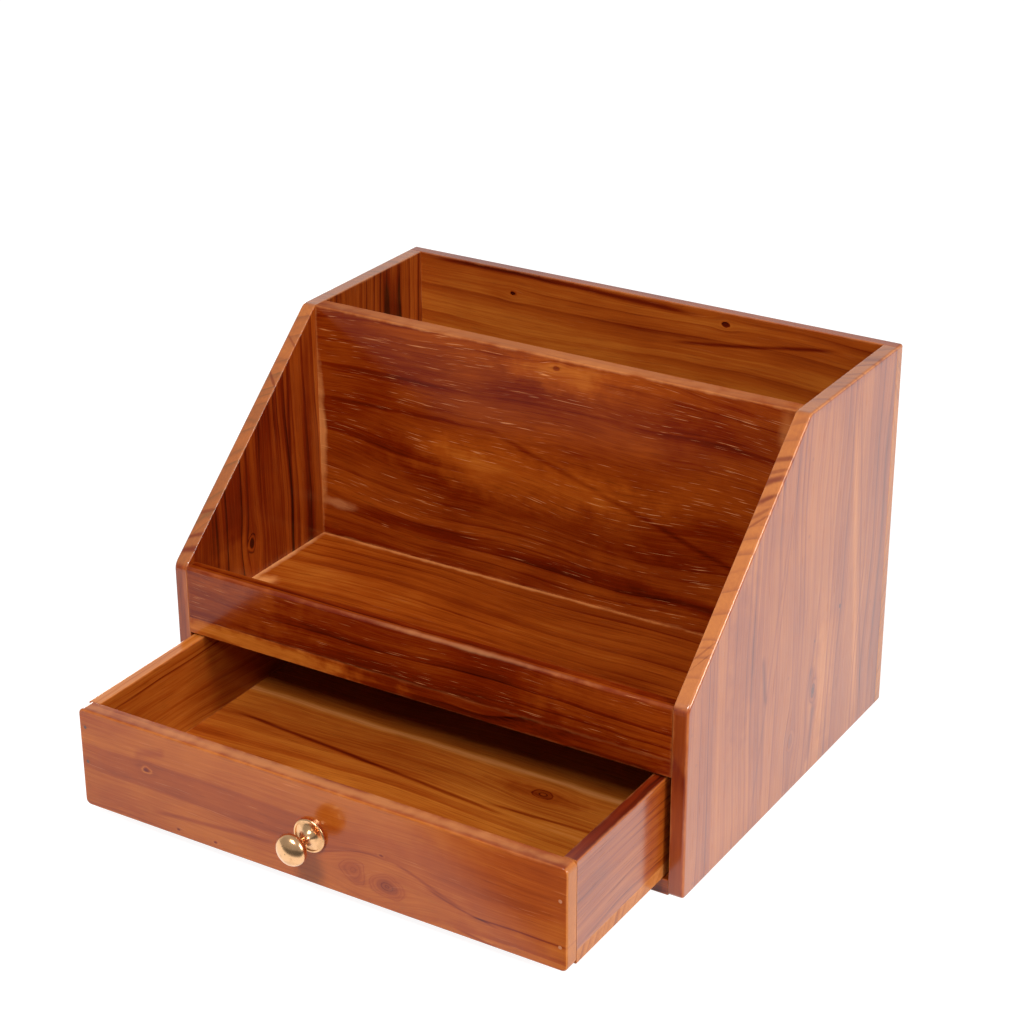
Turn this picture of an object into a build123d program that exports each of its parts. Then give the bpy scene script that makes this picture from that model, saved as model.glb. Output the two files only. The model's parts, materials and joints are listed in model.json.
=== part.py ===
from build123d import *
import math
import os

# Desk organizer with one drawer: a box of planed boards with sloping sides, an open tray
# in front, a deeper compartment behind a divider, and an inset drawer below them.
# Sizes are in millimetres. X runs across, +Y to the back and +Z up. The origin is the
# middle of the cabinet's footprint, on the surface that it stands on.

# Cabinet outline
cabinet_width = 330.0
cabinet_depth = 254.0
cabinet_height = 229.0
front_height = 113.0  # front edges of the sides, and the top of the front rail
level_depth = 122.0  # level part of the side tops, from the outside of the back
bay_height = 62.0  # clear height for the drawer, between bottom panel and shelf

# Cabinet boards
side_thickness = 9.0
back_thickness = 9.0
divider_thickness = 10.5
shelf_thickness = 10.0
rail_thickness = 9.0
bottom_thickness = 9.5

# Drawer boards
drawer_front_thickness = 9.5
drawer_side_thickness = 8.0
drawer_back_thickness = 8.0
drawer_bottom_thickness = 8.0

# Gaps round the drawer in its bay, and how far it stands open
drawer_floor_gap = 0.3
drawer_top_gap = 1.2
drawer_left_gap = 0.8
drawer_right_gap = 3.2
drawer_rear_gap = 1.0
drawer_pull = 99.5

# Rounded outline corners of the sides, and eased edges
brow_radius = 8.0  # where the front edge of a side turns into the slope
crest_radius = 5.0  # where the slope turns into the level top
toe_radius = 2.5  # front bottom corner
rear_ease = 3.0
outer_ease = 1.6
inner_ease = 0.6
rail_ease = 1.8
drawer_ease = 1.1
drawer_corner_radius = 3.5  # corners of the drawer's front

# Lost-head panel pins, driven through one board into the end of another
pin_length = 22.0
pin_radius = 0.7
pin_head_radius = 1.1
pin_head_height = 0.8
pin_point = 1.6
pin_flat_count = 8  # flat sides that stand for the round wire
pin_clearance = 0.02
pin_front_inset = 10.5  # first pin from the front edge of a side
pin_rear_inset = 17.0  # last pin from the rear edge of a side
pin_top_inset = 28.0  # first and last pin up an edge
back_pin_inset = 50.0  # first and last pin along the rear edge of a shelf
drawer_pin_inset = 14.0  # pins of the drawer's back, from the drawer's top and bottom
drawer_bottom_pin_inset = 32.0  # from the ends of the drawer's bottom board
left_pin_top_inset = 11.0  # pins of the drawer's front, driven where they fell
left_pin_low_inset = 28.0
right_pin_top_inset = 19.5
right_pin_low_inset = 14.0

# Turned brass knob, held by a screw from inside the drawer
knob_flange_radius = 9.8
knob_rim_height = 2.2
knob_rim_width = 1.2
knob_rim_round = 0.8
knob_dish_depth = 0.6
knob_neck_radius = 2.5
knob_head_radius = 9.05
knob_head_half = 5.7  # half the head's height along the knob's axis
knob_head_edge = 4.0  # roundness of the head's edge
knob_head_centre = 17.2  # from the drawer's face
screw_radius = 1.5
screw_length = 16.0
screw_head_radius = 3.2
screw_head_height = 2.0
screw_slot_width = 0.9
screw_slot_depth = 0.9
screw_fit = 0.02
screw_end_room = 1.0
screw_hole_radius = 1.8
washer_radius = 4.5
washer_thickness = 0.8

# Places worked out from the sizes
half_width = cabinet_width / 2
inner_x = half_width - side_thickness
front_y = -cabinet_depth / 2
rear_y = cabinet_depth / 2
side_rear_y = rear_y - back_thickness
slope_top_y = rear_y - level_depth
divider_rear_y = slope_top_y + divider_thickness
shelf_low_z = bottom_thickness + bay_height
shelf_top_z = shelf_low_z + shelf_thickness

drawer_left_x = -inner_x + drawer_left_gap
drawer_right_x = inner_x - drawer_right_gap
drawer_middle_x = (drawer_left_x + drawer_right_x) / 2
drawer_floor_z = bottom_thickness + drawer_floor_gap
drawer_top_z = shelf_low_z - drawer_top_gap
drawer_inside_z = drawer_floor_z + drawer_bottom_thickness
drawer_face_y = front_y - drawer_pull
drawer_inside_y = drawer_face_y + drawer_front_thickness
drawer_rear_y = side_rear_y - drawer_rear_gap - drawer_pull


def board(x, y, z):
    """A square board between the two ends given for each direction."""
    size = [high - low for low, high in (x, y, z)]
    middle = [(low + high) / 2 for low, high in (x, y, z)]
    return Pos(*middle) * Box(*size)


def eased(solid, radius, *places):
    """The solid with edges rounded: each place is an axis and where along it the edges lie,
    and an edge is rounded when it lies at all the places."""

    def lies(edge):
        low, high = edge.bounding_box().min, edge.bounding_box().max
        return all(
            abs(getattr(low, axis) - at) < 0.01 and abs(getattr(high, axis) - at) < 0.01
            for axis, at in places
        )

    return fillet([edge for edge in solid.edges() if lies(edge)], radius)


def spaced(first, last, count):
    """Evenly spaced places from first to last, both counted."""
    return [first + (last - first) * i / (count - 1) for i in range(count)]


def pin(clearance=0.0):
    """A pin along -Z with its head level with z = 0, or with a clearance its socket."""
    top = pin_head_height if clearance else 0
    neck_z = -pin_head_height - clearance
    tip_z = -pin_length - clearance
    head = Pos(0, 0, neck_z) * extrude(
        RegularPolygon(pin_head_radius + clearance, pin_flat_count), amount=top - neck_z
    )
    shank = RegularPolygon(pin_radius + clearance, pin_flat_count)
    point = RegularPolygon(pin_radius / 4, pin_flat_count)
    shoulder_z = tip_z + pin_point
    body = Pos(0, 0, shoulder_z) * extrude(shank, amount=neck_z - shoulder_z)
    body += loft([Pos(0, 0, tip_z) * point, Pos(0, 0, shoulder_z) * shank])
    return head + body


# Ways in which a pin is driven, as turns of a pin that points down
to_left = Rot(0, 90, 0)
to_right = Rot(0, -90, 0)
to_front = Rot(-90, 0, 0)
to_rear = Rot(90, 0, 0)
to_top = Rot(180, 0, 0)


def side_panel(low_x, high_x, outer_x):
    """A side: level top behind, a slope down to the front edge, every turn rounded."""
    front_foot = (front_y, 0)
    brow = (front_y, front_height)
    crest = (slope_top_y, cabinet_height)
    outline = make_face(
        Polyline(
            front_foot,
            brow,
            crest,
            (side_rear_y, cabinet_height),
            (side_rear_y, 0),
            close=True,
        )
    )
    for corner, radius in ((front_foot, toe_radius), (brow, brow_radius), (crest, crest_radius)):
        vertex = outline.vertices().sort_by_distance(Vector(*corner))[0]
        outline = fillet(vertex, radius)
    panel = Pos(low_x, 0, 0) * extrude(Plane.YZ * outline, amount=high_x - low_x)
    inner_face_x = low_x + high_x - outer_x
    for face_x, radius in ((outer_x, outer_ease), (inner_face_x, inner_ease)):
        edges = [
            edge
            for edge in panel.edges()
            if abs(edge.center().X - face_x) < 0.01 and edge.center().Y < side_rear_y - 0.01
        ]
        panel = fillet(edges, radius)
    return panel


def cabinet_boards():
    """The seven boards of the cabinet, before they are drilled for their pins."""
    across = (-inner_x, inner_x)
    to_back = (front_y, side_rear_y)
    back = board((-half_width, half_width), (side_rear_y, rear_y), (0, cabinet_height))
    back = fillet(back.faces().sort_by(Axis.Y)[-1].edges(), rear_ease)
    for x in (-half_width, half_width):
        for z in (0, cabinet_height):
            back = eased(back, outer_ease, ("X", x), ("Z", z))
    back = eased(back, inner_ease, ("Y", side_rear_y), ("Z", cabinet_height))
    divider = board(across, (slope_top_y, divider_rear_y), (shelf_top_z, cabinet_height))
    divider = eased(divider, inner_ease, ("Z", cabinet_height), ("Y", slope_top_y))
    divider = eased(divider, inner_ease, ("Z", cabinet_height), ("Y", divider_rear_y))
    shelf = board(across, to_back, (shelf_low_z, shelf_top_z))
    shelf = eased(shelf, inner_ease, ("Y", front_y), ("Z", shelf_low_z))
    rail_rear_y = front_y + rail_thickness
    rail = board(across, (front_y, rail_rear_y), (shelf_top_z, front_height))
    rail = eased(rail, rail_ease, ("Y", front_y), ("Z", front_height))
    rail = eased(rail, inner_ease, ("Y", rail_rear_y), ("Z", front_height))
    bottom = board(across, to_back, (0, bottom_thickness))
    bottom = eased(bottom, inner_ease, ("Y", front_y), ("Z", bottom_thickness))
    bottom = eased(bottom, inner_ease, ("Y", front_y), ("Z", 0))
    return {
        "left_side_panel": side_panel(-half_width, -inner_x, -half_width),
        "right_side_panel": side_panel(inner_x, half_width, half_width),
        "back_panel": back,
        "divider_panel": divider,
        "tray_shelf": shelf,
        "front_rail": rail,
        "bottom_panel": bottom,
    }


def side_pin_places():
    """Height and depth of the pins through a side, into the ends of the four boards."""
    along = spaced(front_y + pin_front_inset, side_rear_y - pin_rear_inset, 3)
    shelf_middle_z = (shelf_low_z + shelf_top_z) / 2
    divider_middle_y = (slope_top_y + divider_rear_y) / 2
    up = spaced(shelf_top_z + pin_top_inset, cabinet_height - pin_top_inset, 3)
    places = [(y, z) for z in (bottom_thickness / 2, shelf_middle_z) for y in along]
    places += [(divider_middle_y, z) for z in up]
    places.append((front_y + rail_thickness / 2, (shelf_top_z + front_height) / 2))
    return places


def back_pin_places():
    """Width and height of the pins through the back, into the sides, shelf and bottom."""
    side_middle_x = half_width - side_thickness / 2
    up = spaced(pin_top_inset, cabinet_height - pin_top_inset, 3)
    along = spaced(-inner_x + back_pin_inset, inner_x - back_pin_inset, 3)
    places = [(x, z) for x in (-side_middle_x, side_middle_x) for z in up]
    shelf_middle_z = (shelf_low_z + shelf_top_z) / 2
    places += [(x, z) for z in (bottom_thickness / 2, shelf_middle_z) for x in along]
    return places


def drawer_boards():
    """The five boards of the drawer: the front covers the ends of the others."""
    across = (drawer_left_x, drawer_right_x)
    behind = (drawer_inside_y, drawer_rear_y)
    upright = (drawer_inside_z, drawer_top_z)
    left_inner_x = drawer_left_x + drawer_side_thickness
    right_inner_x = drawer_right_x - drawer_side_thickness
    back_front_y = drawer_rear_y - drawer_back_thickness

    front = board(across, (drawer_face_y, drawer_inside_y), (drawer_floor_z, drawer_top_z))
    front = fillet(front.edges().filter_by(Axis.Y), drawer_corner_radius)
    front = fillet(front.faces().sort_by(Axis.Y)[0].edges(), drawer_ease)
    front = eased(front, inner_ease, ("Y", drawer_inside_y), ("Z", drawer_top_z))
    left = board((drawer_left_x, left_inner_x), behind, upright)
    right = board((right_inner_x, drawer_right_x), behind, upright)
    left = eased(left, drawer_ease, ("X", drawer_left_x), ("Z", drawer_top_z))
    left = eased(left, inner_ease, ("X", left_inner_x), ("Z", drawer_top_z))
    right = eased(right, drawer_ease, ("X", drawer_right_x), ("Z", drawer_top_z))
    right = eased(right, inner_ease, ("X", right_inner_x), ("Z", drawer_top_z))
    back = board((left_inner_x, right_inner_x), (back_front_y, drawer_rear_y), upright)
    for y in (back_front_y, drawer_rear_y):
        back = eased(back, inner_ease, ("Y", y), ("Z", drawer_top_z))
    bottom = board(across, behind, (drawer_floor_z, drawer_inside_z))
    for x in across:
        bottom = eased(bottom, inner_ease, ("X", x), ("Z", drawer_floor_z))
    return {
        "drawer_front": front,
        "drawer_left_side": left,
        "drawer_right_side": right,
        "drawer_back": back,
        "drawer_bottom": bottom,
    }


def drawer_pins():
    """Where the drawer's pins go, for each group: a place and the way it is driven."""
    left_middle_x = drawer_left_x + drawer_side_thickness / 2
    right_middle_x = drawer_right_x - drawer_side_thickness / 2
    back_middle_y = drawer_rear_y - drawer_back_thickness / 2
    up = (drawer_floor_z + drawer_pin_inset, drawer_top_z - drawer_pin_inset)
    along = spaced(
        drawer_inside_y + drawer_bottom_pin_inset, drawer_rear_y - drawer_bottom_pin_inset, 3
    )
    across = spaced(
        drawer_left_x + drawer_bottom_pin_inset, drawer_right_x - drawer_bottom_pin_inset, 3
    )
    in_front = [
        (left_middle_x, drawer_face_y, drawer_floor_z + left_pin_low_inset),
        (left_middle_x, drawer_face_y, drawer_top_z - left_pin_top_inset),
        (right_middle_x, drawer_face_y, drawer_floor_z + right_pin_low_inset),
        (right_middle_x, drawer_face_y, drawer_top_z - right_pin_top_inset),
    ]
    under = [(x, y, drawer_floor_z) for x in (left_middle_x, right_middle_x) for y in along]
    under += [(x, back_middle_y, drawer_floor_z) for x in across]
    return {
        "drawer_front_pins": [Pos(*at) * to_rear for at in in_front],
        "drawer_back_pins": [Pos(drawer_left_x, back_middle_y, z) * to_right for z in up]
        + [Pos(drawer_right_x, back_middle_y, z) * to_left for z in up],
        "drawer_bottom_pins": [Pos(*at) * to_top for at in under],
    }


def knob_on_axis():
    """The knob along +Y from y = 0: a flange with a raised rim and a dished face, a neck
    that flares into it, and a flattened round head. Its back is drilled for the screw."""
    rim_x, rim_y = knob_flange_radius - knob_rim_round, knob_rim_height - knob_rim_round
    dish_x, dish_y = knob_flange_radius - knob_rim_width, knob_rim_height - knob_dish_depth
    flare = dish_x - knob_neck_radius
    edge_x = knob_head_radius - knob_head_edge
    crown = (edge_x**2 + knob_head_half**2 - knob_head_edge**2) / (knob_head_half - knob_head_edge) / 2
    crown_drop = crown - knob_head_half
    turn = math.degrees(math.atan2(crown_drop, edge_x))
    meet = math.degrees(math.acos(knob_neck_radius / crown))
    outline = [
        Polyline((0, 0), (knob_flange_radius, 0), (knob_flange_radius, rim_y)),
        CenterArc((rim_x, rim_y), knob_rim_round, 0, 90),
        Polyline((rim_x, knob_rim_height), (dish_x, knob_rim_height), (dish_x, dish_y)),
        CenterArc((dish_x, dish_y + flare), flare, 180, 90),
        CenterArc((0, knob_head_centre + crown_drop), crown, -meet, meet - turn),
        CenterArc((edge_x, knob_head_centre), knob_head_edge, -turn, 2 * turn),
        CenterArc((0, knob_head_centre - crown_drop), crown, turn, 90 - turn),
    ]
    outline.append(Line(outline[3] @ 0, outline[4] @ 0))
    outline.append(Line(outline[6] @ 1, (0, 0)))
    knob = revolve(make_face(Curve() + outline), Axis.Y)
    hole_depth = screw_length - drawer_front_thickness - washer_thickness + screw_end_room
    return knob - drilling(screw_radius + screw_fit, 0, hole_depth)


def drilling(radius, start_y, end_y):
    """A round rod along Y, from start_y to end_y."""
    middle_y = (start_y + end_y) / 2
    return Pos(0, middle_y, 0) * Rot(90, 0, 0) * Cylinder(radius, end_y - start_y)


def knob_parts():
    """The knob and its screw and washer, on the middle of the drawer's front."""
    at_front = Pos(drawer_middle_x, drawer_face_y, (drawer_floor_z + drawer_top_z) / 2)
    washer_y = drawer_front_thickness + washer_thickness
    washer = drilling(washer_radius, drawer_front_thickness, washer_y)
    washer -= drilling(screw_hole_radius, drawer_front_thickness, washer_y)
    head = drilling(screw_head_radius, washer_y, washer_y + screw_head_height)
    head = fillet(head.edges().sort_by(Axis.Y)[-1], screw_head_height / 3)
    slot_y = washer_y + screw_head_height - screw_slot_depth / 2
    head -= Pos(0, slot_y, 0) * Box(2 * screw_head_radius, screw_slot_depth, screw_slot_width)
    screw = head + drilling(screw_radius, washer_y - screw_length, washer_y)
    hole = drilling(screw_hole_radius, -screw_end_room, drawer_front_thickness + screw_end_room)
    parts = {
        "drawer_knob": Rot(0, 0, 180) * knob_on_axis(),
        "knob_screw": screw,
        "knob_washer": washer,
    }
    return {name: at_front * shape for name, shape in parts.items()}, at_front * hole


def drilled(boards, groups):
    """The boards with a socket for each pin that reaches them, and the groups of pins."""
    solids = dict(boards)
    socket, nail = pin(pin_clearance), pin()
    for name, places in groups.items():
        sockets = [place * socket for place in places]
        for key, shape in solids.items():
            box = shape.bounding_box()
            reached = [s for s in sockets if overlaps(box, s.bounding_box())]
            if reached:
                solids[key] = shape - reached
    for name, places in groups.items():
        solids[name] = Compound(children=[place * nail for place in places])
    return solids


def overlaps(one, other):
    """Whether two boxes share more than a face."""
    touching = 2 * pin_clearance
    return all(
        getattr(one.min, axis) < getattr(other.max, axis) - touching
        and getattr(other.min, axis) < getattr(one.max, axis) - touching
        for axis in "XYZ"
    )


def build():
    """Every piece by name."""
    cabinet_groups = {
        "left_side_pins": [Pos(-half_width, y, z) * to_right for y, z in side_pin_places()],
        "right_side_pins": [Pos(half_width, y, z) * to_left for y, z in side_pin_places()],
        "back_panel_pins": [Pos(x, rear_y, z) * to_front for x, z in back_pin_places()],
    }
    pieces = drilled(cabinet_boards(), cabinet_groups)
    drawer = drilled(drawer_boards(), drawer_pins())
    knob, screw_hole = knob_parts()
    drawer["drawer_front"] -= screw_hole
    return {**pieces, **drawer, **knob}


os.makedirs("parts", exist_ok=True)
for node, shape in build().items():
    export_step(shape, f"parts/{node}.step")
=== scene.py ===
import json
import math
from dataclasses import dataclass

import bmesh
import bpy
from bpy.props import FloatProperty, FloatVectorProperty, PointerProperty
from mathutils import Matrix, Vector

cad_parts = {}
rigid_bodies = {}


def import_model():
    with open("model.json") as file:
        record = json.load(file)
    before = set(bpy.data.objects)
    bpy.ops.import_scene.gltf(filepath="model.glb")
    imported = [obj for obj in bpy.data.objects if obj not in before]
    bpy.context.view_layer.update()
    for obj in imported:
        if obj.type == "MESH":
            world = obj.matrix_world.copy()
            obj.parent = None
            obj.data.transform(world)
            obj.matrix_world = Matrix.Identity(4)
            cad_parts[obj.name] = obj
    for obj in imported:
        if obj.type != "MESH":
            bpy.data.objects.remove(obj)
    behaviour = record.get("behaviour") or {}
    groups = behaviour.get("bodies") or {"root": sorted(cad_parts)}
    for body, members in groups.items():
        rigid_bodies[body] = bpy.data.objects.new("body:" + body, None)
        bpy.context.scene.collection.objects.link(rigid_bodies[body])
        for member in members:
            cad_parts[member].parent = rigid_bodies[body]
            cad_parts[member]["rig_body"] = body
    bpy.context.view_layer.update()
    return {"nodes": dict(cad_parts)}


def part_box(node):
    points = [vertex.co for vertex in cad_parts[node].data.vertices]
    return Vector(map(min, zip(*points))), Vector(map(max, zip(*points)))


# The finish of a lacquered desk organizer: grained and worn boards, a polished knob, and a
# plain studio round it. Lengths are in metres, but for those of the wood's figure, which are in
# millimetres.

bl_info = {
    "name": "Desk Organizer Finish",
    "version": (1, 0, 0),
    "blender": (4, 5, 0),
    "location": "3D View > Sidebar > Organizer",
    "description": "Finishes a wooden desk organizer and lights it in a plain studio",
    "category": "Object",
}

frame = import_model()


SCREEN_GAMMA = 2.2


def tone(red, green, blue):
    """A colour as it shows on a screen, 0 to 255, in the linear values that a shader takes."""
    return tuple((part / 255) ** SCREEN_GAMMA for part in (red, green, blue))


# The wood's figure, board by board


@dataclass
class Knot:
    """Where a branch left the trunk: its place along and across the grain."""

    along: float
    across: float
    radius: float
    dark: float = 0.4
    ring: float = 2.2


@dataclass
class Streak:
    """A streak that runs with the grain between two places, each along and across it."""

    start: tuple
    end: tuple
    width: float
    dark: float  # below nought it is lighter than the wood


@dataclass
class Patch:
    """A place, in the organizer's own axes, where the wood is dusted, rubbed or stained, or where
    light, shade or sheen is painted on it.

    With a paint, the name of one of the wood's colours, the patch lies over the grain. Without
    one it makes the grain that much paler, or darker where it is below nought."""

    centre: tuple
    reach: tuple
    share: float
    paint: str = ""
    lean: float = 0.0  # how far it runs back for each millimetre to the right


@dataclass
class Board:
    """How one board was cut. Places are in millimetres in the organizer's own axes."""

    axes: str  # along the grain, across it on the face, and through the board
    pith: tuple  # the tree's pith from the board's middle, across and through
    ring: float  # width of a year's ring
    seed: float
    shade: float = 0.0  # lighter above nought
    sweep: float = 14.0  # how far the grain wanders
    contrast: float = 1.0
    clouds: float = 0.3  # unevenness of the stain
    flecks: float = 0.1  # pores that caught pale dust
    grit: float = 1.0  # strength of the fibres and of the dark pores
    wear: float = 0.22  # how much the edges are rubbed
    ends: float = 0.12  # how much paler the ends are than the wide faces
    edges: float = 0.0  # the same for the narrow faces along the grain
    sheen: float = 0.0  # the wood's own gloss under the lacquer
    gloss: float = 1.0  # share of the full lacquer
    knots: tuple = ()
    streaks: tuple = ()
    patches: tuple = ()


BOARDS = {
    "left_side_panel": Board(
        "zyx", (-150, 60), 7.5, 3.1, shade=-0.11, sweep=10, contrast=0.95, ends=0.08, edges=0.1,
        sheen=0.1,
        knots=(Knot(103, -66, 2.6, ring=2.0),),
        streaks=(
            Streak((0, -54), (229, -56), 2.0, 0.2),
            Streak((0, -28), (229, -24), 2.5, 0.25),
            Streak((0, -8), (229, -6), 9.0, 0.2),
            Streak((0, -104), (229, -100), 3.0, 0.2),
            Streak((0, 79), (229, 79), 4.5, 0.5),
            Streak((0, 95), (229, 93), 2.0, 0.5),
            Streak((0, 88), (229, 86), 12.0, 0.24),
        ),
        patches=(
            Patch((-160, -119, 120), (14, 2.6, 9), 0.85, "dark", 0.3),
            Patch((-160, -112, 126), (14, 1.6, 9), 0.7, "dark", 0.4),
            Patch((-160, -100, 137), (14, 1.2, 9), 0.5, "dark", 0.4),
            Patch((-156, -84, 96), (9, 26, 26), 0.16),
            Patch((-160, -34, 195), (14, 1.2, 9), 0.6, "dark", -0.8),
            Patch((-160, -14, 212), (14, 1.2, 9), 0.5, "dark", -0.6),
        ),
    ),
    "right_side_panel": Board(
        "zyx", (190, -75), 8.0, 11.4, shade=0.06, contrast=0.6, clouds=0.25, grit=0.3, ends=0.04,
        edges=-0.18, sheen=0.2,
        knots=(
            Knot(93, 57, 0.7, 0.3),
            Knot(85, 25, 0.9, 0.2),
            Knot(53, 26, 2.6, 0.12, 1.6),
            Knot(34, -2, 3.0, 0.1, 1.8),
        ),
        streaks=(
            Streak((0, 88), (229, 62), 5.0, -0.14),
            Streak((0, 95), (229, 70), 1.6, 0.16),
            Streak((0, -52), (180, -12), 1.8, 0.1),
            Streak((60, -30), (229, -2), 1.2, 0.12),
            Streak((0, 14), (120, 30), 1.4, 0.14),
            Streak((-10, 46), (229, 34), 1.2, 0.1),
            Streak((105, -41), (72, -36), 3.5, 0.2),
            Streak((70, 24), (44, 27), 4.0, 0.2),
            Streak((45, 28), (8, 21), 4.5, 0.2),
        ),
        patches=(
            Patch((165, -66, 120), (9, 20, 70), -0.12),
            Patch((162, -16, 211), (14, 1.8, 9), 0.7, "dark", 0.3),
            Patch((160, -22, 205), (14, 1.3, 9), 0.5, "dark", 0.4),
            Patch((158, -27, 200), (14, 2.4, 9), 0.75, "dark", 0.5),
            Patch((161, -34, 194), (14, 2.2, 9), 0.8, "dark", 0.6),
            Patch((160, -41, 189), (14, 1.5, 9), 0.45, "dark", 0.8),
            Patch((160, -45, 185), (14, 1.2, 9), 0.5, "dark", 0.9),
            Patch((160, -102, 135), (14, 0.9, 9), 0.4, "dark", 1.2),
            Patch((160, -107, 131), (14, 0.7, 9), 0.4, "dark", 1.2),
            Patch((160, 60, 229), (14, 90, 7), -0.08),
            Patch((161, 94, 229), (14, 4, 7), 0.55, "dark", 0.5),
            Patch((160, 83.5, 229), (14, 2, 7), 0.6, "dark", 0.9),
            Patch((160, 68, 229), (14, 1.5, 7), 0.4, "dark", 0.9),
            Patch((160, 47, 229), (14, 3, 7), 0.3, "dark", 0.8),
            Patch((160, 26, 229), (14, 2, 7), 0.4, "dark", 0.7),
            Patch((165, 42, 60), (9, 18, 60), 0.1),
        ),
    ),
    "back_panel": Board(
        "xzy", (40, -90), 7.0, 21.7, shade=0.03, contrast=0.6, grit=0.7, sheen=0.08,
        knots=(Knot(-89, 214, 1.2), Knot(57, 222, 1.4)),
        streaks=(
            Streak((-150, 228), (40, 224), 3.0, 0.35),
            Streak((20, 204), (130, 219), 2.0, 0.25),
        ),
    ),
    "divider_panel": Board(
        "xzy", (12, 70), 6.5, 33.3, shade=-0.13, sweep=20, contrast=0.4, clouds=0.45,
        flecks=0.6, edges=0.12, gloss=0.2,
        knots=(Knot(9, 223, 1.4, 0.2),),
        streaks=(
            Streak((-156, 172), (-30, 176), 2.2, 0.12),
            Streak((-40, 177), (150, 118), 3.0, 0.12),
            Streak((-156, 104), (156, 96), 7.0, 0.2),
        ),
        patches=(
            Patch((-154.5, 5, 150), (4, 9, 50), 0.55, "pale"),
            Patch((-143, 5, 104), (14, 9, 4), 0.3, "dust"),
            # Painted light and painted shade: paler at the top and in the middle, darker at the
            # right where the side shades it, and low down towards the tray
            Patch((12, 5, 219), (45, 9, 12), 0.22),
            Patch((-10, 5, 150), (110, 9, 20), 0.16),
            Patch((130, 5, 205), (60, 9, 40), -0.06),
            Patch((100, 5, 110), (90, 9, 22), -0.1),
            Patch((152, 5, 212), (6, 9, 22), 0.25, "pale"),
            # Pale dust over the divider's whole top: partly a painted sheen, standing in for the
            # lacquer's reflection there
            Patch((0, 12, 229), (220, 14, 2), 0.3, "dust"),
            Patch((1.5, 5, 217.5), (4.5, 9, 0.8), 0.9, "pale"),
            Patch((-149, 5, 215), (6, 9, 0.6), 0.5, "pale"),
        ),
    ),
    "tray_shelf": Board(
        "xyz", (70, -80), 7.0, 41.9, shade=-0.05, contrast=0.55, clouds=0.4, gloss=0.45, edges=-0.2,
        wear=0.1,
        patches=(
            Patch((-40, 5, 81.5), (190, 3.4, 9), 0.75, "pale"),
            Patch((-156, -60, 81.5), (4, 90, 9), 0.8, "dust"),
            Patch((-147, -66, 81.5), (10, 8, 9), 0.9, "pale"),
            Patch((-125, -127, 76), (120, 5, 9), 0.42),
        ),
    ),
    "front_rail": Board(
        "xzy", (40, 90), 5.0, 52.2, shade=-0.26, contrast=0.6, clouds=0.3, flecks=0.65,
        edges=0.06, gloss=0.6, wear=0.08,
        patches=(
            Patch((30, -127, 113), (90, 4, 2), 0.25, "dust"),
            Patch((-140, -127, 95), (80, 9, 30), 0.16),
            Patch((132, -127, 98), (80, 9, 30), 0.12),
        ),
    ),
    "bottom_panel": Board("xyz", (90, 70), 7.0, 63.8),
    "drawer_front": Board(
        "xzy", (6, 60), 7.0, 74.5, shade=0.1, contrast=0.5, flecks=0.2, grit=0.6, edges=-0.12,
        gloss=0.88,
        knots=(
            Knot(46, 24, 4.4, 0.2, 1.5),
            Knot(25, 26, 3.2, 0.1, 1.9),
            Knot(43, 38, 0.9, 0.3),
            Knot(-110, 45, 1.3, 0.35),
            Knot(-90, 14, 0.8, 0.35),
            Knot(-65, 14, 0.8, 0.35),
        ),
        streaks=(
            Streak((-106, 21), (-20, 27), 2.2, 0.16),
            Streak((-14, 27), (44, 37), 1.2, 0.14),
            Streak((50, 36), (92, 27), 1.4, 0.14),
            Streak((70, 30), (112, 22), 1.0, 0.2),
            Streak((96, 24), (156, 24), 1.0, 0.26),
            Streak((88, 14), (150, 4), 1.2, 0.2),
            Streak((-118, 52), (-96, 60), 5.0, 0.1),
        ),
        patches=(
            Patch((0, -221.5, 70.3), (220, 5, 1.2), 0.5, "pale"),
            Patch((-10, -218, 70.3), (90, 2, 2), -0.06),
            # Painted shade: the right end of the front darker, where the lacquer's reflection of
            # the white floor fades out
            Patch((126, -226.5, 45), (80, 9, 50), -0.06),
        ),
    ),
    "drawer_left_side": Board(
        "yzx", (60, 50), 5.5, 81.2, shade=0.08, contrast=0.42, edges=0.2,
        streaks=(Streak((-217, 62), (20, 62), 1.0, 0.3),),
    ),
    "drawer_right_side": Board(
        "yzx", (-80, 60), 5.5, 93.6, shade=0.04, contrast=0.6, edges=-0.3, sheen=0.14
    ),
    "drawer_back": Board("xzy", (70, 50), 6.0, 101.3),
    "drawer_bottom": Board(
        "xyz", (40, -70), 8.0, 113.7, shade=0.16, sweep=22, contrast=0.75, sheen=0.03, gloss=0.55,
        knots=(Knot(63, -99, 3.0, 0.12),),
        patches=(Patch((63, -99, 17.8), (38, 8, 6), -0.16),),
        streaks=(
            Streak((-140, -112), (60, -128), 2.5, 0.35),
            Streak((40, -122), (150, -118), 2.0, 0.3),
            Streak((-300, -84), (300, -84), 5.0, -0.3),
        ),
    ),
}


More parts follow.
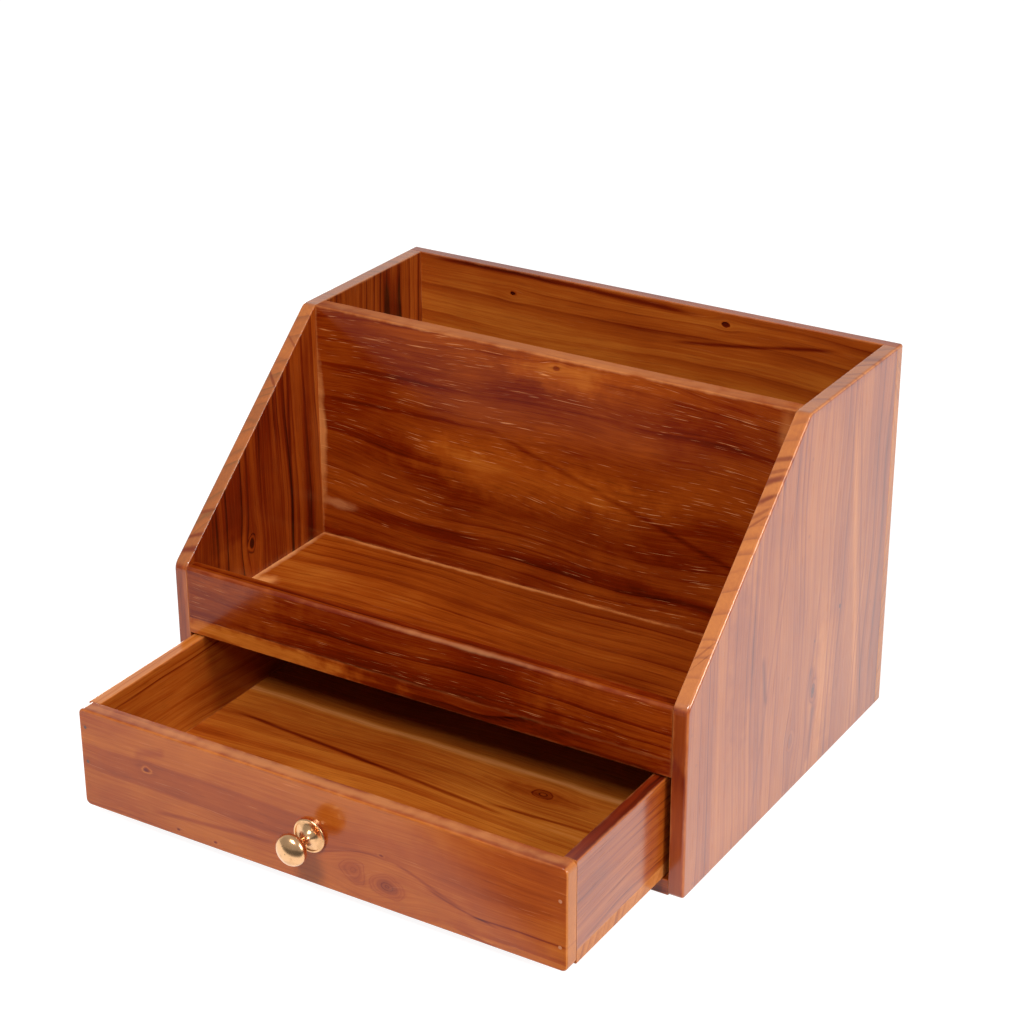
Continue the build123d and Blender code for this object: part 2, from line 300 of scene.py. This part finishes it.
class OrganizerWood(bpy.types.PropertyGroup):
    """The wood's colours and its lacquer."""

    pale: FloatVectorProperty(
        name="Pale wood", description="Worn edges and the palest bands", subtype="COLOR",
        default=tone(216, 138, 78), min=0, max=1,
    )
    light: FloatVectorProperty(
        name="Light wood", description="Early growth", subtype="COLOR",
        default=tone(184, 102, 37), min=0, max=1,
    )
    middle: FloatVectorProperty(
        name="Middle wood", description="Most of the wood", subtype="COLOR",
        default=tone(150, 68, 21), min=0, max=1,
    )
    dark: FloatVectorProperty(
        name="Dark wood", description="Late growth", subtype="COLOR",
        default=tone(105, 32, 7), min=0, max=1,
    )
    black: FloatVectorProperty(
        name="Heart streaks", description="Knots and the darkest streaks", subtype="COLOR",
        default=tone(46, 10, 2), min=0, max=1,
    )
    # Dust and filler in open pores; over the divider's top the same colour is also a painted sheen
    dust: FloatVectorProperty(
        name="Filled pores", description="Dust and filler in open pores", subtype="COLOR",
        default=tone(222, 150, 96), min=0, max=1,
    )
    end_grain: FloatVectorProperty(
        name="End grain", description="What shows where the grain was cut across", subtype="COLOR",
        default=tone(184, 116, 66), min=0, max=1,
    )
    lacquer: FloatProperty(
        name="Lacquer", description="How much clear lacquer lies on the wood", subtype="FACTOR",
        default=0.9, min=0, max=1,
    )
    lacquer_roughness: FloatProperty(
        name="Lacquer roughness", description="How dull the lacquer is", subtype="FACTOR",
        default=0.16, min=0, max=1,
    )


class OrganizerMetal(bpy.types.PropertyGroup):
    """The metal pieces' colours."""

    brass: FloatVectorProperty(
        name="Brass", description="Polished brass of the knob", subtype="COLOR",
        default=tone(230, 180, 132), min=0, max=1,
    )
    tarnish: FloatVectorProperty(
        name="Tarnish", description="Dull brass in the hollows", subtype="COLOR",
        default=tone(168, 118, 66), min=0, max=1,
    )
    steel: FloatVectorProperty(
        name="Steel", description="Screw and pins", subtype="COLOR",
        default=tone(172, 168, 160), min=0, max=1,
    )
    putty: FloatVectorProperty(
        name="Putty", description="Wood-coloured filler over the pin heads", subtype="COLOR",
        default=tone(164, 84, 40), min=0, max=1,
    )
    filler: FloatVectorProperty(
        name="Dark filler", description="Filler that has gone dark", subtype="COLOR",
        default=tone(84, 38, 18), min=0, max=1,
    )
    stopping: FloatVectorProperty(
        name="Pale filler", description="Filler that has gone pale", subtype="COLOR",
        default=tone(194, 124, 80), min=0, max=1,
    )


class OrganizerStudio(bpy.types.PropertyGroup):
    """The camera and the light."""

    lens: FloatProperty(
        name="Lens", description="Focal length", unit="CAMERA", default=87.416, min=1,
    )
    ambient: FloatProperty(
        name="Ambient", description="Light from all round", default=0.2, min=0,
    )
    key_power: FloatProperty(
        name="Key light", description="Power of the softbox in front", unit="POWER",
        default=24.0, min=0,
    )
    side_power: FloatProperty(
        name="Side light", description="Power of the softbox at the right", unit="POWER",
        default=18.5, min=0,
    )
    back_power: FloatProperty(
        name="Back light", description="Power of the softbox behind, at the left", unit="POWER",
        default=12.0, min=0,
    )


class Recipe:
    """Lays nodes into one material or world; each call returns the new node's output."""

    def __init__(self, owner):
        owner.use_nodes = True
        self.owner = owner
        self.tree = owner.node_tree
        self.tree.nodes.clear()

    def node(self, kind, inputs=None, output=0, **settings):
        node = self.tree.nodes.new("ShaderNode" + kind)
        for name, value in settings.items():
            setattr(node, name, value)
        for name, value in (inputs or {}).items():
            if isinstance(value, bpy.types.NodeSocket):
                self.tree.links.new(value, node.inputs[name])
            else:
                node.inputs[name].default_value = value
        return node.outputs[output]

    def math(self, operation, *values):
        return self.node("Math", dict(enumerate(values)), operation=operation)

    def add(self, first, *others):
        for other in others:
            first = self.math("ADD", first, other)
        return first

    def times(self, first, *others):
        for other in others:
            first = self.math("MULTIPLY", first, other)
        return first

    def minus(self, first, second):
        return self.math("SUBTRACT", first, second)

    def vector(self, x, y, z):
        return self.node("CombineXYZ", {0: x, 1: y, 2: z})

    def spread(self, along, length, across, width, depth, thickness, seed):
        """Coordinates in which one unit is a length, a width and a thickness."""
        return self.vector(
            self.add(self.times(along, 1 / length), seed),
            self.times(across, 1 / width),
            self.times(depth, 1 / thickness),
        )

    def noise(self, vector, detail=2.0, roughness=0.5):
        """Noise of one unit's scale about nought, from about -0.5 to 0.5."""
        inputs = {"Vector": vector, "Scale": 1.0, "Detail": detail, "Roughness": roughness}
        return self.minus(self.node("TexNoise", inputs), 0.5)

    def fade(self, value, full, none):
        """1 where the value is at full, falling smoothly to 0 at none."""
        inputs = {"Value": value, 1: full, 2: none, 3: 1.0, 4: 0.0}
        return self.node("MapRange", inputs, interpolation_type="SMOOTHSTEP")

    def blend(self, share, first, second):
        inputs = {"Factor": share, 6: first, 7: second}
        return self.node("Mix", inputs, output=2, data_type="RGBA")

    def ramp(self, value, stops):
        """A colour ramp through pairs of a place and a colour."""
        output = self.node("ValToRGB", {0: value})
        elements = output.node.color_ramp.elements
        while len(elements) < len(stops):
            elements.new(0.5)
        for element, (place, colour) in zip(elements, stops):
            element.position = place
            element.color = (*colour[:3], 1.0)
        return output

    def bump(self, height, distance, normal=None):
        inputs = {"Height": height, "Distance": distance, "Strength": 1.0}
        if normal is not None:
            inputs["Normal"] = normal
        return self.node("Bump", inputs)

    def place(self):
        """The place in the organizer's own axes, in metres."""
        return self.node("TexCoord", output=3)

    def close(self, kind, surface):
        """Ends the recipe with its output node and returns what it was for."""
        output = self.tree.nodes.new("ShaderNode" + kind)
        self.tree.links.new(surface, output.inputs["Surface"])
        return self.owner

    def finish(self, **inputs):
        """The surface, with its inputs by the shader's own names, spaces as underscores."""
        named = {name.replace("_", " "): value for name, value in inputs.items()}
        for name, value in named.items():
            if not isinstance(value, bpy.types.NodeSocket) and not isinstance(value, float):
                named[name] = (*value[:3], 1.0)
        return self.close("OutputMaterial", self.node("BsdfPrincipled", named))


def new_recipe(name):
    return Recipe(bpy.data.materials.new(name))


MM = 1000.0  # millimetres in a metre


def board_place(recipe):
    """The surface's place in the organizer's axes, in millimetres, as x, y and z."""
    place = recipe.node("VectorMath", {0: recipe.place(), "Scale": MM}, operation="SCALE")
    split = recipe.node("SeparateXYZ", {0: place})
    return dict(zip("xyz", split.node.outputs))


KNOT_LENGTH, KNOT_WIDTH = 5.5, 3.2  # reach of a knot's pull on the grain, in its radii
KNOT_PULL = 0.8  # share of the way that the grain gives
KNOT_ROUNDNESS = 0.62  # a knot's width over its length
KNOT_WAVER = 5  # unevenness of the rings in a knot


def grain_round_knots(recipe, board, along, across):
    """Across the grain, pushed aside round each knot, with how far the rings turn into the
    knots, how dark the knots are and how near they lie."""
    turned, darkness, nearness = 0.0, 0.0, 0.0
    uneven = recipe.noise(recipe.spread(along, 12, across, 8, 0, 1, board.seed))
    waver = recipe.times(uneven, KNOT_WAVER)
    for knot in board.knots:
        run = recipe.minus(along, knot.along)
        rise = recipe.minus(across, knot.across)
        reach = recipe.add(
            recipe.math("POWER", recipe.math("DIVIDE", run, KNOT_LENGTH * knot.radius), 2),
            recipe.math("POWER", recipe.math("DIVIDE", rise, KNOT_WIDTH * knot.radius), 2),
        )
        near = recipe.math("EXPONENT", recipe.times(reach, -1))
        nearness = recipe.add(near, nearness)
        across = recipe.minus(across, recipe.times(rise, near, KNOT_PULL))
        oval = recipe.math(
            "SQRT",
            recipe.add(
                recipe.math("POWER", recipe.times(run, KNOT_ROUNDNESS), 2),
                recipe.math("POWER", rise, 2),
            ),
        )
        oval = recipe.add(oval, recipe.times(waver, recipe.fade(oval, 2 * knot.radius, 0)))
        inward = recipe.times(recipe.minus(oval, 1.7 * knot.radius), 1 / knot.ring)
        turned = recipe.add(recipe.math("SMOOTH_MIN", inward, 0.0, 0.5), turned)
        core = recipe.times(recipe.fade(oval, 0.4 * knot.radius, 1.3 * knot.radius), knot.dark)
        darkness = recipe.add(core, darkness)
    return across, turned, darkness, nearness


def streak_darkness(recipe, board, along, across, waver):
    """How much the board's streaks darken it."""
    darkness = 0.0
    for streak in board.streaks:
        (first, low), (last, high) = streak.start, streak.end
        share = recipe.math("DIVIDE", recipe.minus(along, first), last - first)
        line = recipe.add(recipe.times(share, high - low), low)
        off = recipe.math("ABSOLUTE", recipe.minus(recipe.add(across, waver), line))
        ends = recipe.math("ABSOLUTE", recipe.minus(share, 0.5))
        mask = recipe.times(recipe.fade(off, 0, streak.width), recipe.fade(ends, 0.35, 0.55))
        darkness = recipe.add(recipe.times(mask, streak.dark), darkness)
    return darkness


def box_edge(recipe, place, low, high):
    """How far a place on a board's surface is from the board's nearest edge, in millimetres."""
    past = []
    for axis, one, other in zip("xyz", low, high):
        middle, half = (one + other) / 2 * MM, (other - one) / 2 * MM
        off = recipe.math("ABSOLUTE", recipe.minus(place[axis], middle))
        past.append(recipe.minus(off, half))
    least = recipe.math("MINIMUM", past[0], past[1])
    most = recipe.math("MAXIMUM", past[0], past[1])
    second = recipe.math("MAXIMUM", least, recipe.math("MINIMUM", most, past[2]))
    return recipe.times(second, -1)


def side_edge(recipe, place, low, high):
    """The same for a sloping side: from its faces' edges or from its outline."""
    front_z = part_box("front_rail")[1].z * MM
    crest_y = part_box("divider_panel")[0].y * MM
    front_y, rear_y, top_z = low.y * MM, high.y * MM, high.z * MM
    slope = Vector((0, front_z - top_z, crest_y - front_y)).normalized()
    offset = slope.y * crest_y + slope.z * top_z
    over = recipe.add(recipe.times(place["y"], slope.y), recipe.times(place["z"], slope.z))
    outline = recipe.minus(over, offset)
    for past in (
        recipe.minus(front_y, place["y"]),
        recipe.minus(place["y"], rear_y),
        recipe.minus(place["z"], top_z),
        recipe.times(place["z"], -1),
    ):
        outline = recipe.math("MAXIMUM", outline, past)
    middle, half = (low.x + high.x) / 2 * MM, (high.x - low.x) / 2 * MM
    faces = recipe.minus(recipe.math("ABSOLUTE", recipe.minus(place["x"], middle)), half)
    return recipe.times(recipe.math("MINIMUM", outline, faces), -1)


# How much each part of the growth makes of the wood's tone
BANDS, STRIPES, LINES, FIBRES, LATE = 0.75, 0.5, 0.38, 0.2, 0.42


def growth(recipe, board, seen, middle):
    """The board's growth: how pale it is for its rings, bands and streaks, with the places
    along and across the grain that its fibres follow."""
    seed = board.seed
    along, depth = seen["along"], seen["depth"]
    across, turned, knot_dark, nearness = grain_round_knots(recipe, board, along, seen["across"])

    # The grain wanders: slowly over the board, and in short ripples
    slow = recipe.spread(along, 210, across, 120, depth, 120, seed)
    short = recipe.spread(along, 48, across, 22, depth, 22, seed)
    ripple = recipe.times(recipe.noise(short, detail=1.0), 3.0)
    wander = recipe.times(recipe.noise(slow, detail=1.0), 2.2 * board.sweep)
    laid = recipe.add(across, wander, ripple)

    # Rings about the pith, uneven in width, with a thin dark line where each year ended
    rise = recipe.minus(laid, middle[0] + board.pith[0])
    run = recipe.minus(depth, middle[1] + board.pith[1])
    radius = recipe.math(
        "SQRT", recipe.add(recipe.math("POWER", rise, 2), recipe.math("POWER", run, 2))
    )
    uneven = recipe.noise(recipe.vector(recipe.times(radius, 1 / 23), seed, 0), detail=1.0)
    count = recipe.add(recipe.times(radius, 1 / board.ring), recipe.times(uneven, 5), turned)
    year = recipe.math("FRACT", count)
    late = recipe.times(recipe.math("POWER", year, 5), recipe.fade(year, 0.92, 1.0))
    years = recipe.vector(recipe.times(along, 1 / 160), recipe.times(count, 0.4), seed)
    vigour = recipe.noise(years)
    late = recipe.times(late, recipe.add(recipe.fade(vigour, 0.14, -0.14), 0.25))
    late = recipe.times(late, recipe.add(1.0, recipe.times(seen["end"], 0.5), nearness))

    # Bands of several years, narrower stripes, thin lines, fibres and clouds of stain
    bands = recipe.noise(recipe.spread(along, 420, count, 4.5, seed, 1, 0), detail=2.0)
    stripes = recipe.noise(recipe.spread(along, 240, count, 0.8, seed, 1, 7), detail=3.0)
    lines = recipe.noise(recipe.spread(along, 150, laid, 1.5, depth, 1.5, seed), detail=2.0)
    fibre = recipe.noise(recipe.spread(along, 16, laid, 0.6, depth, 0.6, seed), detail=2.0)
    clouds = recipe.noise(recipe.spread(along, 62, laid, 30, depth, 30, seed + 5), detail=3.0)
    streaks = streak_darkness(recipe, board, along, across, ripple)

    value = recipe.add(
        0.5 + board.shade,
        recipe.times(bands, BANDS * board.contrast),
        recipe.times(stripes, STRIPES * board.contrast),
        recipe.times(lines, LINES * board.contrast),
        recipe.times(fibre, FIBRES * board.grit),
        recipe.times(clouds, board.clouds),
        recipe.times(late, -LATE * board.contrast),
        recipe.times(streaks, -1),
        recipe.times(knot_dark, -1),
    )
    return value, laid, fibre


def patch_share(recipe, place, rub, patch):
    """How much of a patch lies on a place, with an uneven border."""
    parts = zip("xyz", patch.centre, patch.reach)
    near = [recipe.times(recipe.minus(place[axis], at), 1 / reach) for axis, at, reach in parts]
    lean = patch.lean * patch.reach[0] / patch.reach[1]
    near[1] = recipe.minus(near[1], recipe.times(near[0], lean))
    off = recipe.node("VectorMath", {0: recipe.vector(*near)}, 1, operation="LENGTH")
    off = recipe.add(off, recipe.times(rub, 1.2))
    return recipe.times(recipe.fade(off, 0.2, 1.1), patch.share)


RUB_SIZE = 11  # of the unevenness in wear and in the borders of patches


def wear_and_painted_sheen(recipe, board, look, place, rub, edge, colour):
    """The colour with its edges rubbed paler and its painted patches laid on: dust, glue, knots and
    dark bands, and a painted sheen over the divider's top.
    """
    near_edge = recipe.add(edge, recipe.times(rub, 3.4))
    rubbed = recipe.times(recipe.fade(near_edge, -0.2, 1.4), board.wear)
    colour = recipe.blend(rubbed, colour, (*look.pale, 1.0))
    for patch in board.patches:
        if patch.paint:
            share = patch_share(recipe, place, rub, patch)
            colour = recipe.blend(share, colour, (*getattr(look, patch.paint), 1.0))
    return colour


END_GRAIN_SHARE = 0.45  # how far the ends take on the end grain's colour
PORE_LENGTH, PORE_WIDTH = 17, 0.58


def teak(node, board, look):
    """The lacquered wood of one board."""
    recipe = new_recipe("teak_" + node)
    low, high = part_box(node)
    middle = dict(zip("xyz", (low + high) / 2 * MM))
    place = board_place(recipe)
    seen = {key: place[axis] for key, axis in zip(("along", "across", "depth"), board.axes)}
    facing = recipe.node("SeparateXYZ", {0: recipe.node("NewGeometry", output=1)}).node.outputs
    towards = [recipe.math("ABSOLUTE", facing["xyz".index(axis)]) for axis in board.axes]
    seen["end"] = recipe.fade(towards[0], 0.65, 0.3)
    narrow = recipe.minus(recipe.fade(towards[2], 0.3, 0.8), seen["end"])
    value, laid, fibre = growth(recipe, board, seen, [middle[axis] for axis in board.axes[1:]])
    scaled = recipe.spread(
        place["x"], RUB_SIZE, place["y"], RUB_SIZE, place["z"], RUB_SIZE, board.seed
    )
    rub = recipe.noise(scaled, detail=3.0)
    # The ends and narrow faces paler or darker, and the unpainted patches laid in: stain, and on
    # the divider and the drawer's front also painted light and painted shade
    value = recipe.add(
        value,
        recipe.times(seen["end"], board.ends),
        recipe.times(narrow, board.edges),
        *(patch_share(recipe, place, rub, patch) for patch in board.patches if not patch.paint),
    )
    colour = recipe.ramp(
        value,
        ((0.0, look.black), (0.24, look.dark), (0.5, look.middle), (0.72, look.light),
         (1.0, look.pale)),
    )
    cut = recipe.times(seen["end"], END_GRAIN_SHARE)
    colour = recipe.blend(cut, colour, (*look.end_grain, 1.0))

    # Pores are short dashes along the grain: some dark, some filled with pale dust
    face = recipe.fade(towards[2], 0.8, 0.3)
    dash = recipe.noise(
        recipe.spread(
            seen["along"], PORE_LENGTH, laid, PORE_WIDTH, seen["depth"], PORE_WIDTH, board.seed
        ),
        detail=1.0,
    )
    patch = recipe.noise(
        recipe.spread(seen["along"], 90, laid, 12, seen["depth"], 12, board.seed + 3), detail=2.0
    )
    dark_pores = recipe.times(recipe.fade(dash, -0.22, -0.12), face)
    dusty = recipe.times(recipe.fade(dash, 0.27, 0.15), recipe.fade(patch, 0.1, -0.15), face)
    colour = recipe.blend(recipe.times(dark_pores, 0.25 * board.grit), colour, (*look.black, 1.0))
    colour = recipe.blend(recipe.times(dusty, board.flecks), colour, (*look.dust, 1.0))

    edge = side_edge if node.endswith("side_panel") else box_edge
    colour = wear_and_painted_sheen(recipe, board, look, place, rub, edge(recipe, place, low, high), colour)
    relief = recipe.add(
        recipe.times(dark_pores, -0.6), recipe.times(dusty, -0.4), recipe.times(fibre, 0.3)
    )
    return recipe.finish(
        Base_Color=colour,
        Roughness=recipe.add(0.4, recipe.times(fibre, 0.3), recipe.times(dark_pores, 0.2)),
        Normal=recipe.bump(relief, 0.00005),
        Specular_IOR_Level=board.sheen,
        Coat_Weight=look.lacquer * board.gloss,
        Coat_Roughness=look.lacquer_roughness,
        Coat_IOR=1.5,
    )


def dress(node, material):
    """Gives a piece of the frame its material."""
    piece = frame["nodes"][node]
    for slot in piece.material_slots:
        slot.material = material


def dress_boards(body, look):
    for node, board in BOARDS.items():
        if frame["nodes"][node]["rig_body"] == body:
            dress(node, teak(node, board, look))


class ORGANIZER_OT_cabinet(bpy.types.Operator):
    """Finish the cabinet's seven boards in lacquered teak"""

    bl_idname = "organizer.cabinet"
    bl_label = "Cabinet Boards"

    def execute(self, context):
        dress_boards("cabinet", context.scene.organizer_wood)
        return {"FINISHED"}


class ORGANIZER_OT_drawer(bpy.types.Operator):
    """Finish the drawer's five boards in lacquered teak"""

    bl_idname = "organizer.drawer"
    bl_label = "Drawer Boards"

    def execute(self, context):
        dress_boards("drawer", context.scene.organizer_wood)
        return {"FINISHED"}


def filler(look):
    """Stopping over the sunk pins in the wood's own tone; in the drawer's front it has gone dark
    on the left and pale on the right."""
    recipe = new_recipe("pin_filler")
    place = recipe.place()
    split = recipe.node("SeparateXYZ", {0: place}).node.outputs
    grains = recipe.node("TexNoise", {"Vector": place, "Scale": 1800.0, "Detail": 3.0})
    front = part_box("drawer_front")[0].y
    in_front = recipe.fade(split["Y"], front + 0.001, front + 0.0115)
    right = recipe.fade(split["X"], 0.01, -0.01)
    aged = recipe.blend(right, (*look.filler, 1.0), (*look.stopping, 1.0))
    colour = recipe.blend(in_front, (*look.putty, 1.0), aged)
    colour = recipe.blend(recipe.times(grains, 0.5), colour, (*look.filler, 1.0))
    return recipe.finish(
        Base_Color=colour, Roughness=0.5, Normal=recipe.bump(grains, 0.00004), Coat_Weight=0.9,
        Coat_Roughness=0.16, Specular_IOR_Level=0.3,
    )


class ORGANIZER_OT_pins(bpy.types.Operator):
    """Finish the panel pins of the cabinet and the drawer"""

    bl_idname = "organizer.pins"
    bl_label = "Pins"

    def execute(self, context):
        material = filler(context.scene.organizer_metal)
        for node in frame["nodes"]:
            if node.endswith("_pins"):
                dress(node, material)
        return {"FINISHED"}


def brass(look):
    """Polished brass: fine marks, and clouds of tarnish."""
    recipe = new_recipe("polished_brass")
    place = recipe.place()
    cloud = recipe.node("TexNoise", {"Vector": place, "Scale": 160.0, "Detail": 4.0})
    marks = recipe.node("TexNoise", {"Vector": place, "Scale": 1500.0, "Detail": 3.0})
    dull = recipe.fade(cloud, 0.62, 0.5)
    colour = recipe.blend(recipe.times(dull, 0.25), (*look.brass, 1.0), (*look.tarnish, 1.0))
    rough = recipe.add(0.19, recipe.times(dull, 0.08), recipe.times(marks, 0.06))
    return recipe.finish(
        Base_Color=colour, Metallic=1.0, Roughness=rough, Normal=recipe.bump(marks, 0.000004)
    )


def steel(look):
    """Plain bright steel with fine scratches."""
    recipe = new_recipe("plain_steel")
    place = recipe.place()
    marks = recipe.node("TexNoise", {"Vector": place, "Scale": 900.0, "Detail": 4.0})
    colour = recipe.blend(recipe.times(marks, 0.5), (*look.steel, 1.0), (0.2, 0.19, 0.18, 1.0))
    rough = recipe.add(0.2, recipe.times(marks, 0.2))
    return recipe.finish(
        Base_Color=colour, Metallic=1.0, Roughness=rough, Normal=recipe.bump(marks, 0.00001)
    )


class ORGANIZER_OT_knob(bpy.types.Operator):
    """Finish the turned brass knob, and the screw and washer that hold it"""

    bl_idname = "organizer.knob"
    bl_label = "Knob"

    def execute(self, context):
        look = context.scene.organizer_metal
        shine = brass(look)
        dress("drawer_knob", shine)
        dress("knob_washer", shine)
        dress("knob_screw", steel(look))
        return {"FINISHED"}


def new_object(name, shape):
    """An object from a bmesh, with its place in its mesh."""
    mesh = bpy.data.meshes.new(name)
    shape.to_mesh(mesh)
    shape.free()
    made = bpy.data.objects.new(name, mesh)
    bpy.context.scene.collection.objects.link(made)
    return made


FLOOR_REACH = 8.0
EYE = Vector((0.66385, -1.10717, 0.73503))
EYE_AZIMUTH, EYE_ELEVATION, EYE_ROLL = 31.605, 24.946, -0.209  # degrees
SENSOR = 36.0  # millimetres
AIM = Vector((0.0, -0.03, 0.1))  # the middle of the open organizer
PAPER_EDGE = 0.26  # the white paper's reflection ends so far in front of the organizer
PAPER_FADE = 0.03
FLOOR_GLOW = 0.92  # what the eye sees of the floor without the light that falls on it
SOFTBOXES = {  # azimuth, elevation, distance, width, height, and the setting for the power
    "key_softbox": (5, 46, 1.7, 0.4, 0.4, "key_power"),
    "side_softbox": (86, 24, 1.7, 0.45, 0.7, "side_power"),
    "back_softbox": (235, 12, 1.9, 0.6, 0.6, "back_power"),
}


def polar(azimuth, elevation, distance):
    """A place round the organizer, the azimuth counted from the front to the right."""
    turn, lift = math.radians(azimuth), math.radians(elevation)
    level = math.cos(lift)
    way = Vector((math.sin(turn) * level, -math.cos(turn) * level, math.sin(lift)))
    return AIM + distance * way


def add_softbox(name, azimuth, elevation, distance, width, height, power):
    light = bpy.data.lights.new(name, "AREA")
    light.shape = "RECTANGLE"
    light.size, light.size_y, light.energy = width, height, power
    lamp = bpy.data.objects.new(name, light)
    lamp.location = polar(azimuth, elevation, distance)
    lamp.rotation_euler = (AIM - lamp.location).to_track_quat("-Z", "Y").to_euler()
    bpy.context.scene.collection.objects.link(lamp)


def add_camera(lens):
    data = bpy.data.cameras.new("photo_camera")
    data.lens, data.sensor_width, data.clip_end = lens, SENSOR, 50.0
    camera = bpy.data.objects.new("photo_camera", data)
    camera.matrix_world = (
        Matrix.Translation(EYE)
        @ Matrix.Rotation(math.radians(EYE_AZIMUTH), 4, "Z")
        @ Matrix.Rotation(math.radians(90 - EYE_ELEVATION), 4, "X")
        @ Matrix.Rotation(math.radians(EYE_ROLL), 4, "Z")
    )
    bpy.context.scene.collection.objects.link(camera)
    bpy.context.scene.camera = camera


def seen_rays(recipe):
    """1 for rays from the camera or from a mirror or a clear thing, else 0."""
    rays = recipe.node("LightPath").node.outputs
    seen = recipe.math("MAXIMUM", rays["Is Camera Ray"], rays["Is Glossy Ray"])
    return recipe.math("MAXIMUM", seen, rays["Is Transmission Ray"])


def white_floor():
    """White to the eye and in reflections, where the organizer's shadow stays faintly."""
    recipe = new_recipe("white_floor")
    place = recipe.place()
    soft = recipe.node("TexNoise", {"Vector": place, "Scale": 3.0, "Detail": 2.0})
    tint = recipe.ramp(soft, ((0.3, (0.84, 0.84, 0.84)), (0.7, (0.86, 0.86, 0.86))))
    plain = recipe.node("BsdfDiffuse", {"Color": tint})
    split = recipe.node("SeparateXYZ", {0: place})
    turn = math.radians(EYE_AZIMUTH)
    nearer = recipe.minus(
        recipe.times(split, math.sin(turn)),
        recipe.times(split.node.outputs["Y"], math.cos(turn)),
    )
    paper = recipe.fade(nearer, PAPER_EDGE, PAPER_EDGE + PAPER_FADE)
    glossy = recipe.node("LightPath").node.outputs["Is Glossy Ray"]
    past = recipe.times(recipe.minus(1.0, paper), glossy)
    shade = recipe.blend(past, (0.3, 0.3, 0.3, 1.0), (0.01, 0.01, 0.01, 1.0))
    shaded = recipe.node("BsdfDiffuse", {"Color": shade})
    lit = recipe.minus(FLOOR_GLOW, recipe.times(past, 0.8))
    glow = recipe.node("Emission", {"Color": (1.0, 1.0, 1.0, 1.0), "Strength": lit})
    seen = recipe.node("AddShader", {0: shaded, 1: glow})
    mixed = recipe.node("MixShader", {0: seen_rays(recipe), 1: plain, 2: seen})
    return recipe.close("OutputMaterial", mixed)


def white_world(ambient):
    """White to the eye; in reflections white behind and dimmer on the camera's side."""
    recipe = Recipe(bpy.data.worlds.new("white_world"))
    rays = recipe.node("LightPath").node.outputs
    way = recipe.node("SeparateXYZ", {0: recipe.node("TexCoord", output=0)})
    behind = recipe.fade(way.node.outputs["Y"], 0.1, -0.4)
    low = recipe.fade(way.node.outputs["Z"], 0.15, 0.5)
    mirrored = recipe.add(0.42, recipe.times(behind, recipe.add(0.12, recipe.times(low, 0.42))))
    strength = recipe.add(
        recipe.math("MAXIMUM", rays["Is Camera Ray"], rays["Is Transmission Ray"]),
        recipe.times(rays["Is Glossy Ray"], mirrored),
        recipe.times(rays["Is Diffuse Ray"], ambient),
    )
    background = recipe.node("Background", {"Color": (1.0, 1.0, 1.0, 1.0), "Strength": strength})
    bpy.context.scene.world = recipe.close("OutputWorld", background)


class ORGANIZER_OT_stage(bpy.types.Operator):
    """Set up the white floor, the soft light and the camera"""

    bl_idname = "organizer.stage"
    bl_label = "Studio"

    def execute(self, context):
        studio = context.scene.organizer_studio
        shape = bmesh.new()
        bmesh.ops.create_grid(shape, x_segments=1, y_segments=1, size=FLOOR_REACH)
        floor = new_object("floor", shape)
        floor.data.materials.append(white_floor())
        white_world(studio.ambient)
        for name, (*place, setting) in SOFTBOXES.items():
            add_softbox(name, *place, getattr(studio, setting))
        add_camera(studio.lens)
        context.scene.view_settings.view_transform = "Standard"
        return {"FINISHED"}


class ORGANIZER_PT_panel(bpy.types.Panel):
    """Lists the organizer's pieces and their settings"""

    bl_idname = "ORGANIZER_PT_panel"
    bl_label = "Desk Organizer"
    bl_space_type = "VIEW_3D"
    bl_region_type = "UI"
    bl_category = "Organizer"

    def draw(self, context):
        for operator in OPERATORS:
            self.layout.operator(operator.bl_idname)
        for name, group in GROUPS.items():
            box = self.layout.box()
            settings = getattr(context.scene, name)
            for field in group.__annotations__:
                box.prop(settings, field)


OPERATORS = (
    ORGANIZER_OT_cabinet,
    ORGANIZER_OT_drawer,
    ORGANIZER_OT_pins,
    ORGANIZER_OT_knob,
    ORGANIZER_OT_stage,
)
GROUPS = {
    "organizer_wood": OrganizerWood,
    "organizer_metal": OrganizerMetal,
    "organizer_studio": OrganizerStudio,
}


def register():
    for item in (*GROUPS.values(), *OPERATORS, ORGANIZER_PT_panel):
        bpy.utils.register_class(item)
    for name, group in GROUPS.items():
        setattr(bpy.types.Scene, name, PointerProperty(type=group))


def unregister():
    for name in GROUPS:
        delattr(bpy.types.Scene, name)
    for item in reversed((*GROUPS.values(), *OPERATORS, ORGANIZER_PT_panel)):
        bpy.utils.unregister_class(item)


def main():
    register()
    bpy.ops.organizer.cabinet()
    bpy.ops.organizer.drawer()
    bpy.ops.organizer.pins()
    bpy.ops.organizer.knob()
    bpy.ops.organizer.stage()


if __name__ == "__main__":
    main()
